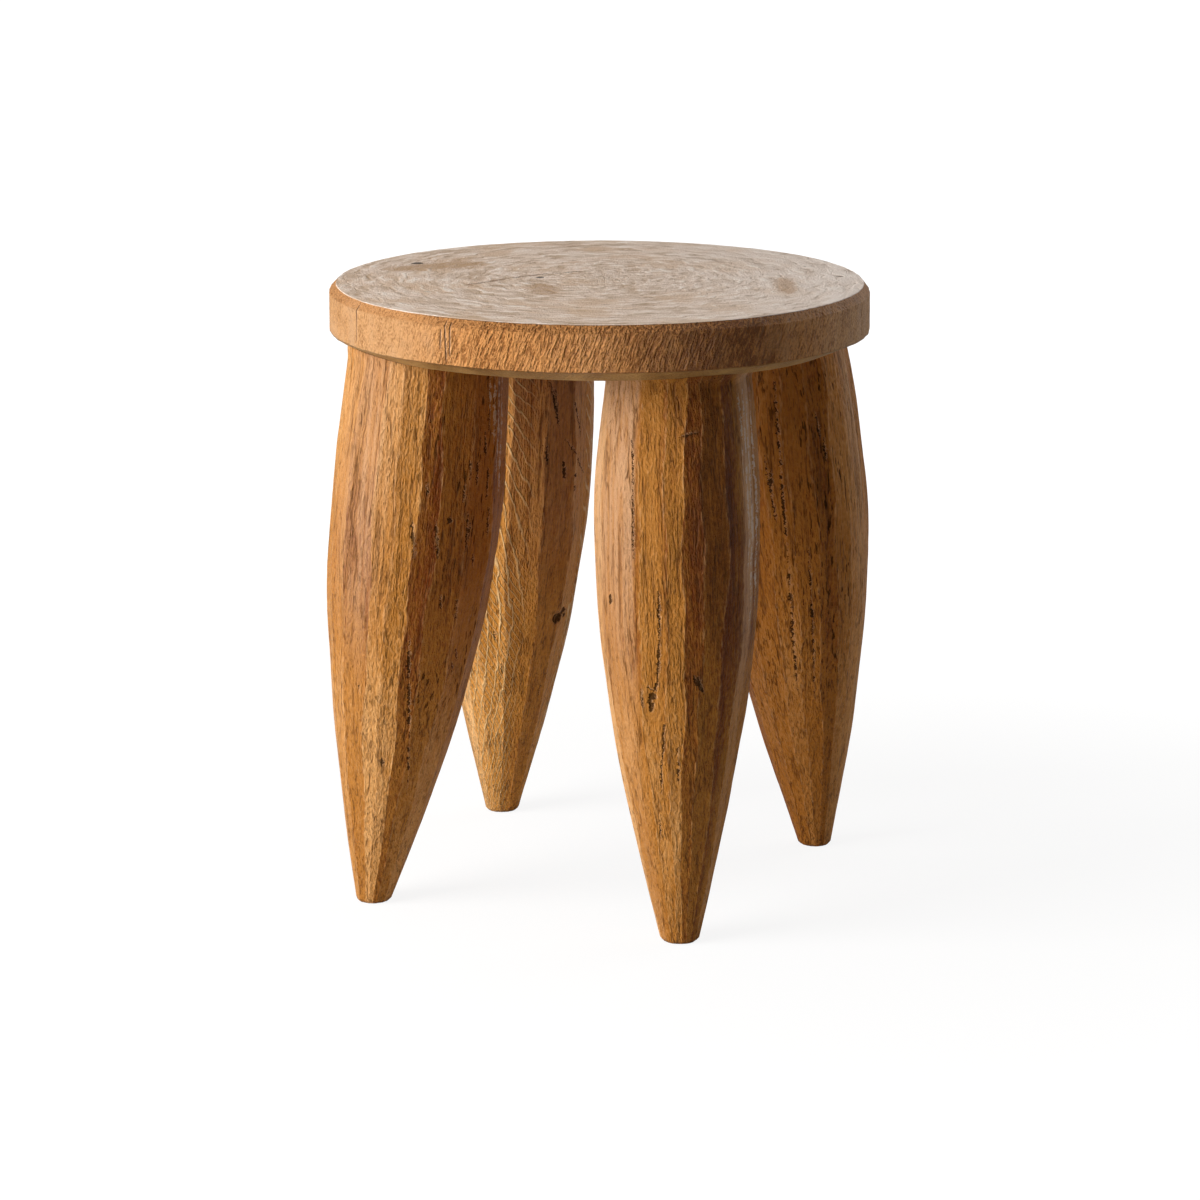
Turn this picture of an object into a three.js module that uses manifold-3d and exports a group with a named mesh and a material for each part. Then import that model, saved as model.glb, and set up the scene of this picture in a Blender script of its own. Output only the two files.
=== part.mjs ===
// A round wooden stool on four swelling legs, hewn by hand with a flat blade.
//
// The seat is a thick cross-cut disc: a flat end-grain top, a bevelled upper edge, an upright side
// and a wider bevel running in under it to a flat underside. Each leg is a splayed spindle, narrow
// at the foot and widest above its middle, covered from end to end in long hewn flats. A leg's
// shoulder flares a little and is scribed to the underside, and a round tenon in line with the leg
// sits in a blind mortise bored at the leg's own angle. Nothing moves.
//
// Millimetres, +Z up. The origin is on the floor under the middle of the seat, and the legs stand
// on the diagonals of X and Y.

import * as THREE from 'three';
import { mergeVertices } from 'three/addons/utils/BufferGeometryUtils.js';
import Module from 'manifold-3d';

// Seat
const SEAT_TOP_HEIGHT = 450;
const SEAT_RADIUS = 198;
const SEAT_THICKNESS = 41.5;
const TOP_BEVEL_WIDTH = 5.5;
const TOP_BEVEL_HEIGHT = 6;
const UNDER_BEVEL_WIDTH = 17;
const UNDER_BEVEL_HEIGHT = 8;
const SEAT_FLATS = 64;
const SEAT_HEWN_WAVER = 0.9;

// Legs, where they stand
const SHOULDER_INSET = 62;
const SPLAY = 45.5;

// Legs, their outline
const FOOT_RADIUS = 12.5;
const FOOT_EDGE_BEVEL = 1.5;
const BELLY_RADIUS = 61;
const BELLY_SHARE_OF_HEIGHT = 0.73;
const SHOULDER_RADIUS = 55;
const FLARE_HEIGHT = 7;

// Legs, the flats that the blade leaves and the ridges between them
const EVEN_FLAT_DEGREES = 20;
const EVEN_FLAT_STRAY = 0.15;
const RIDGE_PROUD = 0.008;
const RIDGE_DEPTH_WAVER = 0.011;
const RIDGE_SWING_DEGREES = 2.4;
const STROKE_LENGTH = 110;
const RING_SPACING = 14;

// The waves that the ridges and the seat's edges wander in: the length of a slow and of a quick
// wave along a leg, in blade strokes, and how far each length strays, how many waves go round the
// seat, and the slow wave's share of the whole swing
const SLOW_WAVE_STROKES = 1.9;
const SLOW_WAVE_STRAY = 0.4;
const QUICK_WAVE_STROKES = 0.8;
const QUICK_WAVE_STRAY = 0.15;
const SLOW_WAVES_ROUND_SEAT = 3;
const QUICK_WAVES_ROUND_SEAT = 8;
const SLOW_WAVE_SHARE = 0.6;
const SEEDS_PER_LEG = 31;

// Joint between a leg and the seat
const TENON_RADIUS = 20;
const TENON_END_BEVEL = 2;
const TENON_ROOT = 25;
const TENON_SIDES = 32;
const SEAT_LEFT_OVER_TENON = 11.5;
const JOINT_GAP = 0.3;

// What the hand made different from leg to leg: the place round the seat in degrees, how far the
// shoulder and the foot stray from it (out in millimetres, round in degrees), how far the middle
// bows out, how much stouter the leg is at its foot, belly and shoulder, and how far it flares into
// the seat. The flats on the leg's front are given by their widths in degrees, from the ridge where
// they start. The rest of the way round is cut in even flats.
const LEGS = [
  {
    name: 'leg_front_left',
    place: 225,
    shoulder: { out: -1, round: 0.5 },
    foot: { out: 1.5, round: 0.4 },
    bow: -3.5,
    stouter: { foot: 0, belly: 1, shoulder: 2.5 },
    flare: 1,
    firstRidge: 222,
    flats: [18, 24, 14, 15, 14, 22, 25, 21],
  },
  {
    name: 'leg_front_right',
    place: 315,
    shoulder: { out: -6, round: 1.8 },
    foot: { out: -2, round: -5 },
    bow: -3,
    stouter: { foot: 1, belly: -2, shoulder: -4.5 },
    flare: 5,
    firstRidge: 224,
    flats: [25, 13, 20, 13, 13, 18, 17, 28],
  },
  {
    name: 'leg_back_right',
    place: 45,
    shoulder: { out: 3.5, round: -1.2 },
    foot: { out: -1.5, round: -0.4 },
    bow: 0,
    stouter: { foot: -0.5, belly: -0.5, shoulder: -3 },
    flare: 1,
    firstRidge: 253,
    flats: [22, 17, 18, 16, 15, 16, 17],
  },
  {
    name: 'leg_back_left',
    place: 135,
    shoulder: { out: -1, round: 4 },
    foot: { out: 1.5, round: 1.5 },
    bow: 0,
    stouter: { foot: 0, belly: -0.5, shoulder: 1.5 },
    flare: 1,
    firstRidge: 266,
    flats: [24, 27, 27, 23],
  },
];

// Sizes that follow from those above
const UNDERSIDE_HEIGHT = SEAT_TOP_HEIGHT - SEAT_THICKNESS;
const UNDERSIDE_RADIUS = SEAT_RADIUS - UNDER_BEVEL_WIDTH;
const SIDE_BOTTOM_HEIGHT = UNDERSIDE_HEIGHT + UNDER_BEVEL_HEIGHT;
const SIDE_TOP_HEIGHT = SEAT_TOP_HEIGHT - TOP_BEVEL_HEIGHT;
const SHOULDER_CIRCLE_RADIUS = SEAT_RADIUS - SHOULDER_INSET;
const FOOT_CIRCLE_RADIUS = SHOULDER_CIRCLE_RADIUS + SPLAY;
const BELLY_HEIGHT = BELLY_SHARE_OF_HEIGHT * UNDERSIDE_HEIGHT;
const TENON_LENGTH = SEAT_THICKNESS - SEAT_LEFT_OVER_TENON;

const wasm = await Module();
wasm.setup();

// A steady, uneven number from -1 to 1 for each seed, so that the handwork is the same every time.
function uneven(seed) {
  const scattered = Math.sin(seed * 12.9898 + 4.1414) * 43758.5453;
  return 2 * (scattered - Math.floor(scattered)) - 1;
}

// A slow and a quick wave together, from -1 to 1.
function swing(slow, quick) {
  return SLOW_WAVE_SHARE * Math.sin(slow) + (1 - SLOW_WAVE_SHARE) * Math.sin(quick);
}

// A swing along a leg, with its own pace and start for each seed. Lengths are in blade strokes.
function strokeSwing(seed, strokes) {
  const slowLength = SLOW_WAVE_STROKES + SLOW_WAVE_STRAY * uneven(seed);
  const quickLength = QUICK_WAVE_STROKES + QUICK_WAVE_STRAY * uneven(seed + 0.6);
  const slow = (2 * Math.PI * strokes) / slowLength + Math.PI * uneven(seed + 0.3);
  const quick = (2 * Math.PI * strokes) / quickLength + Math.PI * uneven(seed + 0.9);
  return swing(slow, quick);
}

// A swing round the seat that closes on itself.
function roundSwing(seed, turn) {
  const slow = SLOW_WAVES_ROUND_SEAT * turn + Math.PI * uneven(seed);
  const quick = QUICK_WAVES_ROUND_SEAT * turn + Math.PI * uneven(seed + 0.5);
  return swing(slow, quick);
}

function toSolid(geometry) {
  const bare = geometry.clone();
  bare.deleteAttribute('normal');
  bare.deleteAttribute('uv');
  const merged = mergeVertices(bare, 1e-4);
  return new wasm.Manifold(new wasm.Mesh({
    numProp: 3,
    vertProperties: merged.getAttribute('position').array,
    triVerts: new Uint32Array(merged.index.array),
  }));
}

function toGeometry(solid) {
  const mesh = solid.getMesh();
  const geometry = new THREE.BufferGeometry();
  geometry.setAttribute('position', new THREE.BufferAttribute(new Float32Array(mesh.vertProperties), 3));
  geometry.setIndex(new THREE.BufferAttribute(new Uint32Array(mesh.triVerts), 1));
  const faceted = geometry.toNonIndexed();
  faceted.computeVertexNormals();
  return faceted;
}

// A closed skin over rings of equally many points, from the lowest ring to the highest.
function loft(rings) {
  const sides = rings[0].length;
  const points = rings.flat();
  const faces = [];
  for (let ring = 0; ring < rings.length - 1; ring += 1) {
    for (let side = 0; side < sides; side += 1) {
      const here = ring * sides + side;
      const next = ring * sides + ((side + 1) % sides);
      faces.push(here, next, next + sides, here, next + sides, here + sides);
    }
  }
  const highRing = (rings.length - 1) * sides;
  const lowMiddle = points.length;
  const highMiddle = lowMiddle + 1;
  points.push(middleOf(rings[0]), middleOf(rings[rings.length - 1]));
  for (let side = 0; side < sides; side += 1) {
    const next = (side + 1) % sides;
    faces.push(lowMiddle, next, side);
    faces.push(highMiddle, highRing + side, highRing + next);
  }
  return new THREE.BufferGeometry().setFromPoints(points).setIndex(faces);
}

function middleOf(ring) {
  const middle = new THREE.Vector3();
  ring.forEach((point) => middle.addScaledVector(point, 1 / ring.length));
  return middle;
}

// Seat

// The seat's hewn edges from below to above. Each wanders in and out, and those that aren't the
// rim of a flat face wander up and down too.
const SEAT_EDGES = [
  { radius: UNDERSIDE_RADIUS, height: UNDERSIDE_HEIGHT, strayOut: 2, strayUp: 0 },
  { radius: SEAT_RADIUS, height: SIDE_BOTTOM_HEIGHT, strayOut: 0.6, strayUp: 1 },
  { radius: SEAT_RADIUS, height: SIDE_TOP_HEIGHT, strayOut: 0.6, strayUp: 1 },
  { radius: SEAT_RADIUS - TOP_BEVEL_WIDTH, height: SEAT_TOP_HEIGHT, strayOut: 0.9, strayUp: 0 },
];

// One edge as a ring of corners, where the flats round the side meet.
function seatRing(edge, seed) {
  return Array.from({ length: SEAT_FLATS }, (_, corner) => {
    const turn = (2 * Math.PI * corner) / SEAT_FLATS;
    const reach = edge.radius + SEAT_HEWN_WAVER * edge.strayOut * roundSwing(seed, turn);
    const height = edge.height + SEAT_HEWN_WAVER * edge.strayUp * roundSwing(seed + 0.2, turn);
    return new THREE.Vector3(reach * Math.cos(turn), reach * Math.sin(turn), height);
  });
}

// Legs

// A point on a circle round the seat's middle, at a height.
function aroundSeat(radius, degrees, height) {
  const turn = THREE.MathUtils.degToRad(degrees);
  return new THREE.Vector3(radius * Math.cos(turn), radius * Math.sin(turn), height);
}

// The line from the middle of a leg's foot to the middle of its shoulder.
function legAxis(leg) {
  const foot = aroundSeat(FOOT_CIRCLE_RADIUS + leg.foot.out, leg.place + leg.foot.round, 0);
  const shoulder = aroundSeat(
    SHOULDER_CIRCLE_RADIUS + leg.shoulder.out,
    leg.place + leg.shoulder.round,
    UNDERSIDE_HEIGHT,
  );
  return { foot, shoulder, up: shoulder.clone().sub(foot).normalize() };
}

// The middle of a leg at a height, with the leg's bow.
function legMiddle(leg, axis, height) {
  const share = height / UNDERSIDE_HEIGHT;
  const bow = leg.bow * Math.sin(Math.PI * Math.min(1, share));
  return axis.foot.clone().lerp(axis.shoulder, share).add(aroundSeat(bow, leg.place, 0));
}

// A leg's radius at a height: a quarter of a sine wave from foot to belly, and another back in
// from belly to shoulder.
function legRadius(leg, height) {
  const foot = FOOT_RADIUS + leg.stouter.foot;
  const belly = BELLY_RADIUS + leg.stouter.belly;
  const shoulder = SHOULDER_RADIUS + leg.stouter.shoulder;
  if (height < BELLY_HEIGHT) {
    return foot + (belly - foot) * Math.sin((Math.PI / 2) * (height / BELLY_HEIGHT));
  }
  const above = Math.min(1, (height - BELLY_HEIGHT) / (UNDERSIDE_HEIGHT - BELLY_HEIGHT));
  return shoulder + (belly - shoulder) * Math.cos((Math.PI / 2) * above);
}

// Where the ridges between a leg's flats stand, in degrees round the leg.
function ridgePlaces(leg, legNumber) {
  const ridges = [leg.firstRidge];
  leg.flats.forEach((width) => ridges.push(ridges.at(-1) + width));
  const evenStart = ridges.at(-1);
  const evenSpan = leg.firstRidge + 360 - evenStart;
  const evenFlats = Math.round(evenSpan / EVEN_FLAT_DEGREES);
  for (let flat = 1; flat < evenFlats; flat += 1) {
    const stray = EVEN_FLAT_STRAY * uneven(SEEDS_PER_LEG * legNumber + flat);
    ridges.push(evenStart + (evenSpan * (flat + stray)) / evenFlats);
  }
  return ridges;
}

// A ridge at a height, from the leg's middle: it swings from side to side and in and out as the
// strokes on either side of it were cut.
function ridgeCorner(seed, degrees, height, radius) {
  const strokes = height / STROKE_LENGTH;
  const turn = THREE.MathUtils.degToRad(degrees + RIDGE_SWING_DEGREES * strokeSwing(seed + 7, strokes));
  const reach = radius * (1 + RIDGE_PROUD + RIDGE_DEPTH_WAVER * strokeSwing(seed + 3, strokes));
  return new THREE.Vector3(reach * Math.cos(turn), reach * Math.sin(turn), 0);
}

// How far a leg has flared out at a height to meet the underside.
function shoulderFlare(leg, height) {
  const rise = 1 - (UNDERSIDE_HEIGHT - height) / FLARE_HEIGHT;
  return leg.flare * THREE.MathUtils.clamp(rise, 0, 1) ** 2;
}

// A leg's section at a height, as a ring of ridges.
function legRing(leg, legNumber, axis, height) {
  const footBevel = Math.max(0, FOOT_EDGE_BEVEL - height);
  const radius = legRadius(leg, height) + shoulderFlare(leg, height) - footBevel;
  const middle = legMiddle(leg, axis, height);
  return ridgePlaces(leg, legNumber).map((degrees, ridge) => {
    const seed = SEEDS_PER_LEG * legNumber + ridge + 1;
    return ridgeCorner(seed, degrees, height, radius).add(middle);
  });
}

// Ring heights: the foot's edge, then evenly up to the flare, then close together through it. The
// last ring is inside the seat, which cuts the leg off.
function ringHeights() {
  const flareStart = UNDERSIDE_HEIGHT - FLARE_HEIGHT;
  const evenRings = Math.round((flareStart - FOOT_EDGE_BEVEL) / RING_SPACING);
  const flareRings = 3;
  const heights = [0];
  for (let i = 0; i < evenRings; i += 1) {
    heights.push(FOOT_EDGE_BEVEL + ((flareStart - FOOT_EDGE_BEVEL) * i) / evenRings);
  }
  for (let i = 0; i <= flareRings; i += 1) {
    heights.push(flareStart + (FLARE_HEIGHT * i) / flareRings);
  }
  return [...heights, SIDE_BOTTOM_HEIGHT];
}

// A round peg in line with a leg. Grown by a gap, it is the mortise's bore.
function peg(axis, gap) {
  const radius = TENON_RADIUS + gap;
  const end = TENON_LENGTH + gap;
  const section = [
    new THREE.Vector2(0, -TENON_ROOT),
    new THREE.Vector2(radius, -TENON_ROOT),
    new THREE.Vector2(radius, end - TENON_END_BEVEL),
    new THREE.Vector2(radius - TENON_END_BEVEL, end),
    new THREE.Vector2(0, end),
  ];
  const turned = new THREE.LatheGeometry(section, TENON_SIDES);
  turned.applyQuaternion(new THREE.Quaternion().setFromUnitVectors(new THREE.Vector3(0, 1, 0), axis.up));
  turned.translate(axis.shoulder.x, axis.shoulder.y, axis.shoulder.z);
  return toSolid(turned);
}

// The hewn spindle, cut to the underside with a gap, and its tenon.
function legSolid(leg, legNumber, disc) {
  const axis = legAxis(leg);
  const rings = ringHeights().map((height) => legRing(leg, legNumber, axis, height));
  const spindle = toSolid(loft(rings)).subtract(disc.translate([0, 0, -JOINT_GAP]));
  return spindle.add(peg(axis, 0));
}

// Assembly

const seatWood = new THREE.MeshStandardMaterial({
  name: 'seat_wood',
  color: 0xb58c69,
  roughness: 0.75,
  metalness: 0,
});
const legWood = new THREE.MeshStandardMaterial({
  name: 'leg_wood',
  color: 0x9a6636,
  roughness: 0.6,
  metalness: 0,
});

const stool = new THREE.Group();

function addPiece(name, solid, material) {
  const piece = new THREE.Mesh(toGeometry(solid), material);
  piece.name = name;
  stool.add(piece);
}

const disc = toSolid(loft(SEAT_EDGES.map(seatRing)));
const seat = LEGS.reduce((bored, leg) => bored.subtract(peg(legAxis(leg), JOINT_GAP)), disc);
addPiece('seat', seat, seatWood);
LEGS.forEach((leg, legNumber) => addPiece(leg.name, legSolid(leg, legNumber, disc), legWood));

export default stool;
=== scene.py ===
"""A hand-hewn wooden stool: a cross-cut disc of a seat on four swelling, tapering legs."""

import itertools
import math
from types import SimpleNamespace

import bpy
import numpy as np
from bpy.props import EnumProperty, FloatProperty, FloatVectorProperty, PointerProperty
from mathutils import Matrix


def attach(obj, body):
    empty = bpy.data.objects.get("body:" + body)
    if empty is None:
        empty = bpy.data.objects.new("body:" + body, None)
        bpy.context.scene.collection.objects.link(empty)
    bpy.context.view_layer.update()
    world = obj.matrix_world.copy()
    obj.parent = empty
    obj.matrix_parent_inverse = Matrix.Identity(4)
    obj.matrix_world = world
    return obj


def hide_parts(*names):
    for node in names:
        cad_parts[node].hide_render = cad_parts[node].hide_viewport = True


bl_info = {
    "name": "Hand-hewn stool",
    "version": (1, 0, 0),
    "blender": (4, 5, 0),
    "location": "3D View > Sidebar > Stool",
    "description": "Models a round wooden stool with hewn legs, its wood and its studio",
    "category": "Object",
}

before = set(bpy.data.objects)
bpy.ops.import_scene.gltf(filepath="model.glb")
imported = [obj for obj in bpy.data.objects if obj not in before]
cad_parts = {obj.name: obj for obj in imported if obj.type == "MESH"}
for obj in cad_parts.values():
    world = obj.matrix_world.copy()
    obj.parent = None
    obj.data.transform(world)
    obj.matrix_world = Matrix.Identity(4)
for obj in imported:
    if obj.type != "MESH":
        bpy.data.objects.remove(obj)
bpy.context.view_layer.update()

MM = 0.001

# The seat, as in the solid model, in millimetres
SEAT_TOP_HEIGHT = 450.0
SEAT_RADIUS = 198.0
SEAT_THICKNESS = 41.5
TOP_BEVEL_WIDTH = 5.5
TOP_BEVEL_HEIGHT = 6.0
UNDER_BEVEL_WIDTH = 17.0
UNDER_BEVEL_HEIGHT = 8.0
SEAT_FLATS = 64
SEAT_HEWN_WAVER = 0.9
UNDERSIDE_HEIGHT = SEAT_TOP_HEIGHT - SEAT_THICKNESS
UNDERSIDE_RADIUS = SEAT_RADIUS - UNDER_BEVEL_WIDTH

# The seat's hewn edges from below to above: radius, height, stray outwards, stray upwards
SEAT_EDGES = (
    (UNDERSIDE_RADIUS, UNDERSIDE_HEIGHT, 2.0, 0.0),
    (SEAT_RADIUS, UNDERSIDE_HEIGHT + UNDER_BEVEL_HEIGHT, 0.6, 1.0),
    (SEAT_RADIUS, SEAT_TOP_HEIGHT - TOP_BEVEL_HEIGHT, 0.6, 1.0),
    (SEAT_RADIUS - TOP_BEVEL_WIDTH, SEAT_TOP_HEIGHT, 0.9, 0.0),
)

# The legs, as in the solid model, in millimetres and degrees
SHOULDER_CIRCLE_RADIUS = SEAT_RADIUS - 62.0
FOOT_CIRCLE_RADIUS = SHOULDER_CIRCLE_RADIUS + 45.5
FOOT_RADIUS = 12.5
FOOT_EDGE_BEVEL = 1.5
BELLY_RADIUS = 61.0
BELLY_HEIGHT = 0.73 * UNDERSIDE_HEIGHT
SHOULDER_RADIUS = 55.0
FLARE_HEIGHT = 7.0
EVEN_FLAT_DEGREES = 20.0
EVEN_FLAT_STRAY = 0.15
RIDGE_PROUD = 0.008
RIDGE_DEPTH_WAVER = 0.011
RIDGE_SWING_DEGREES = 2.4
STROKE_LENGTH = 110.0
JOINT_GAP = 0.3
TENON_RADIUS = 20.0
TENON_LENGTH = 30.0
TENON_END_BEVEL = 2.0

# How deep the legs' unevenness goes, as a share of a flat's width or in millimetres
FLAT_HOLLOW = 0.012
CHATTER_DEPTH = 0.10
LONG_TEAR_DEPTH = 0.16
SHORT_TEAR_DEPTH = 0.09

# The round bar that each leg is worked from, in metres
BLANK_RADIUS = 0.05
BLANK_TENON_RADIUS = 0.02
BLANK_HEIGHT = 0.4

# How far below the underside the bars start that bore the mortises
DRILL_START = 4.0

# How finely the meshes are cut
SEAT_SIDE_ROWS = (8, 20, 4)
DRILL_CORNERS = 96
LEG_ROWS = 256
SHOULDER_RINGS = 5
SEAT_SMOOTH_DEGREES = 24.0
LEG_SMOOTH_DEGREES = 75.0

# How near to each other, in metres, two places count as one, and two levels of a bar's end
NEAR = 1e-5
NEAR_LEVEL = 1e-6

# Half a row of a mesh, to tell on which side of an edge a point is
HALF_ROW = 0.5

# Where the columns of a leg's mesh stand across each flat, close together at the ridges
ACROSS_FLAT = np.array((0, 0.03, 0.09, 0.17, 0.27, 0.38, 0.5, 0.62, 0.73, 0.83, 0.91, 0.97))

# Each leg's place; how its shoulder and its foot stray outwards and round the stool; how much
# stouter its foot, belly and shoulder are; the flats that the photograph shows; and its wood:
# its tint, the share of fine checks, its bands of painted light and shade round the leg (pale
# where a lamp lights it, dark where the leg turns away, with some of the wood's own tone), how
# much painted shade darkens its girdle on the lit side, and where its dark heartwood lies, on
# the side turned from the key lamp, so that it is largely painted shade: turn, half its width,
# lower end and strength. Cracks, rows of pits and pale streaks of painted rim light along the
# fibres go from one turn and height to another, and have a width. Holes have a turn, a height, a
# radius and a depth. Turns are in degrees, all else in millimetres.
LEGS = {
    "leg_front_left": {
        "number": 0,
        "place": 225.0,
        "shoulder": (-1.0, 0.5),
        "foot": (1.5, 0.4),
        "bow": -3.5,
        "stouter": (0.0, 1.0, 2.5),
        "flare": 1.0,
        "first_ridge": 222.0,
        "flats": (18, 24, 14, 15, 14, 22, 25, 21),
        "tone": (1.0, 1.0, 1.0),
        "checks": 0.9,
        "tone_and_shading_bands": (
            (205, 0.05), (255, 0.35), (278, 0.15), (297, -0.15), (309, -0.45), (335, -0.45),
            (355, -0.6),
        ),
        "shaded": 0.35,
        "heartwood_and_shade": (332.0, 30.0, 250.0, 0.5),
        "cracks": (
            (290, 298, 294, 268, 1.1), (306, 296, 310, 267, 1.1), (316, 298, 316, 292, 2.0),
            (325, 322, 325, 307, 1.0), (330, 301, 331, 270, 1.1), (335, 336, 336, 317, 1.2),
            (341, 357, 343, 337, 1.1), (346, 331, 347, 306, 1.2), (345, 372, 345, 354, 0.9),
            (350, 300, 351, 278, 1.0), (328, 236, 330, 219, 1.1), (315, 241, 317, 230, 1.2),
            (328, 338, 329, 322, 0.8), (333, 293, 333, 278, 1.0), (329, 288, 336, 284, 0.9),
            (339, 268, 340, 257, 0.9), (336, 198, 341, 187, 1.3), (334, 189, 338, 178, 1.2),
        ),
        "pits": (
            (295, 214, 299, 178, 1.8), (299, 178, 307, 131, 1.8), (307, 131, 317, 88, 1.6),
            (298, 324, 299, 314, 1.6), (283, 118, 284, 110, 1.6), (257, 172, 258, 163, 1.4),
        ),
        "rim_light_streaks": (
            (350, 404, 351, 345, 2.2), (356, 402, 357.5, 318, 2.6), (2.5, 396, 4, 305, 2.6),
            (345, 400, 346, 368, 1.4),
        ),
        "holes": (),
    },
    "leg_front_right": {
        "number": 1,
        "place": 315.0,
        "shoulder": (-6.0, 1.8),
        "foot": (-2.0, -5.0),
        "bow": -3.0,
        "stouter": (1.0, -2.0, -4.5),
        "flare": 5.0,
        "first_ridge": 224.0,
        "flats": (25, 13, 20, 13, 13, 18, 17, 28),
        "tone": (1.0, 1.0, 1.0),
        "checks": 0.45,
        "tone_and_shading_bands": (
            (170, 0.0), (205, 1.0), (238, 0.9), (256, 0.4), (262, 0.0), (274, -0.05), (283, -0.85),
            (331, -0.8), (338, 0.1), (346, 0.35), (356, 0.45), (15, 0.1),
        ),
        "shaded": 0.5,
        "heartwood_and_shade": (314.0, 26.0, 250.0, 0.5),
        "cracks": (
            (255, 365, 257, 333, 0.8), (257, 333, 259, 281, 0.6), (277, 261, 277, 226, 1.0),
            (277, 226, 275, 197, 1.4), (275, 197, 271, 188, 1.6), (268, 186, 268, 173, 2.2),
            (261, 191, 261, 176, 1.2), (266, 192, 271, 189, 1.0), (303, 201, 305, 193, 1.5),
            (306, 200, 308, 190, 1.7), (278.5, 166, 278, 152, 1.0), (278, 154, 275.5, 138, 1.2),
            (275.5, 140, 272.5, 113, 0.9), (305, 201, 311, 187, 1.6), (268, 94, 267, 80, 1.0),
            (290, 368, 306, 371, 0.6),
        ),
        "pits": ((233, 256, 233, 240, 1.6), (290, 150, 291, 120, 1.2)),
        "rim_light_streaks": (
            (349, 404, 351, 262, 2.2), (355.5, 402, 357, 225, 3.2), (3, 398, 4.5, 240, 3),
            (343, 398, 344, 335, 1.2),
        ),
        "holes": ((270.0, 185.0, 2.6, 1.6), (268.5, 179.0, 2.0, 1.2)),
    },
    "leg_back_right": {
        "number": 2,
        "place": 45.0,
        "shoulder": (3.5, -1.2),
        "foot": (-1.5, -0.4),
        "bow": 0.0,
        "stouter": (-0.5, -0.5, -3.0),
        "flare": 1.0,
        "first_ridge": 253.0,
        "flats": (22, 17, 18, 16, 15, 16, 17),
        "tone": (1.13, 1.04, 0.9),
        "checks": 1.0,
        "tone_and_shading_bands": ((230, 0.0), (290, 0.0), (330, -0.3), (350, 0.3)),
        "shaded": 0.0,
        "heartwood_and_shade": (300.0, 30.0, 300.0, 0.3),
        "cracks": (
            (321, 332, 321, 314, 1.1), (280, 309, 279, 293, 1.2), (316, 352, 318, 330, 0.9),
            (292, 46, 292, 36, 0.8),
        ),
        "pits": (
            (287, 385, 287, 240, 1.3), (287, 240, 285, 134, 1.6), (303, 250, 302, 126, 1.0),
            (276, 320, 281, 268, 1.1),
        ),
        "rim_light_streaks": (),
        "holes": (),
    },
    "leg_back_left": {
        "number": 3,
        "place": 135.0,
        "shoulder": (-1.0, 4.0),
        "foot": (1.5, 1.5),
        "bow": 0.0,
        "stouter": (0.0, -0.5, 1.5),
        "flare": 1.0,
        "first_ridge": 266.0,
        "flats": (24, 27, 27, 23),
        "tone": (1.43, 1.55, 1.75),
        "checks": 0.4,
        "tone_and_shading_bands": ((205, 0.1), (275, 0.0), (292, 0.2), (330, 0.2)),
        "shaded": 0.0,
        "heartwood_and_shade": (330.0, 20.0, 330.0, 0.35),
        "cracks": (
            (279, 161, 281, 151, 1.1), (286, 134, 288, 123, 1.1), (336, 112, 336, 102, 1.0),
            (318, 362, 328, 323, 1.4), (323, 357, 326, 336, 0.9), (342, 344, 351, 317, 1.2),
            (334, 314, 346, 299, 1.2), (346, 299, 359, 282, 1.2),
        ),
        "pits": ((315, 320, 318, 296, 2.0), (333, 300, 334, 280, 2.0), (345, 292, 345, 268, 2.0)),
        "rim_light_streaks": (),
        "holes": ((343.5, 167.0, 4.6, 3.4), (351.5, 172.0, 3.0, 1.6), (356.0, 167.0, 2.2, 1.2)),
    },
}

# Painted light and shade round the seat's side by degrees, with some of the wood's own tone; and the
# cracks in the side
SEAT_TONE_AND_SHADING = (
    (205, 0.1), (260, 0.4), (290, 0.2), (300, -0.4),
    (314, -1.0), (326, -0.7), (338, 0.15), (10, 0.3),
)
SEAT_CRACKS = (
    (230.6, 448, 230.7, 434, 1.5), (230.7, 435, 230.3, 421, 0.8), (258.1, 448, 258.5, 419, 1.1),
    (259.5, 447, 259.3, 423, 0.9), (257.2, 442, 257.0, 427, 0.7), (100.2, 447, 100.5, 424, 1.2),
    (151.0, 446, 151.4, 431, 0.9), (18.0, 440, 18.3, 421, 0.8), (62.0, 447, 61.8, 435, 1.0),
)

# Marks on the seat's top: both ends and the width, in millimetres from the seat's middle
TOP_STAINS = ((-36, -30, -10, -76, 34), (-170, -14, -108, 46, 52), (120, 60, 150, -10, 26))
TOP_SEAMS = ((-84, -60, -64, -14, 7), (-66, -18, -46, 18, 8), (-46, 14, -20, 40, 5))
TOP_PITS = (
    (-161, 24, -151, 24.5, 9.0), (-48, -4, -42, -3, 6.0), (13, -177, 18, -176, 2.2),
    (116, 115, 121, 117, 2.4), (154, 80, 159, 81, 2.2), (60, -60, 66, -58, 1.6),
    (-100, -95, -95, -93, 1.6),
)
RINGS_MIDDLE = (2.3, 10.3, SEAT_TOP_HEIGHT)

# One degree round, measured on the skin of the seat and of a leg
SEAT_MM_PER_DEGREE = math.radians(1) * SEAT_RADIUS
MM_PER_DEGREE = 0.9

# How wide marks are drawn on the legs, as a share of the widths given above
MARK_WIDTH = 1.5

# The middle height of a girdle of painted shade on the lit side of the front legs
SHADE_GIRDLE_HEIGHT = 250.0

# The numbers of the legs that show bowed tool grooves and slanting scrapes
GROOVED_LEG = 3
SCRAPED_LEG = 1

# The torn fibres of the seat's side: where they are roughest and how far they lean
TORN_DEGREES = 300
TORN_LEAN = 0.35
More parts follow.
